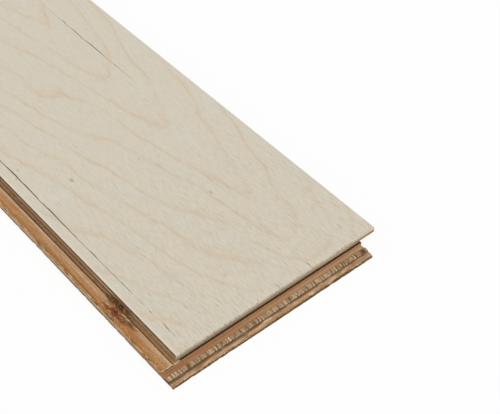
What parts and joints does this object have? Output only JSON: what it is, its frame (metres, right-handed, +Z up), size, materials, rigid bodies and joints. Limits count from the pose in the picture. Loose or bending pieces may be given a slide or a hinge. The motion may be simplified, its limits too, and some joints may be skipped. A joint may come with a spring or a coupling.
{
  "type": "engineered plank floorboard",
  "caption": "Long flat engineered wood floorboard: pale face veneer on a brown plywood core, with a milled locking lip and groove on one side and end, and a tongue opposite.",
  "frame": {"origin": "under the middle of the board's box, on the surface that the board lies on", "axes": "+X along the board towards the end with the standing ridge, +Y across towards the tongue, +Z up through the face"},
  "size_m": [1.231, 0.1784, 0.0127],
  "materials": {
    "face_veneer": "matt whitewashed",
    "core_ply": "raw milled",
    "backing_ply": "raw sanded"
  },
  "bodies": {
    "root": {"face_veneer": "face_veneer", "upper_long_ply": "core_ply", "upper_cross_ply": "core_ply", "middle_long_ply": "core_ply", "end_ridge_strip": "core_ply", "end_hook_strip": "core_ply", "lower_cross_ply": "core_ply", "backing_ply": "backing_ply"}
  },
  "joints": []
}
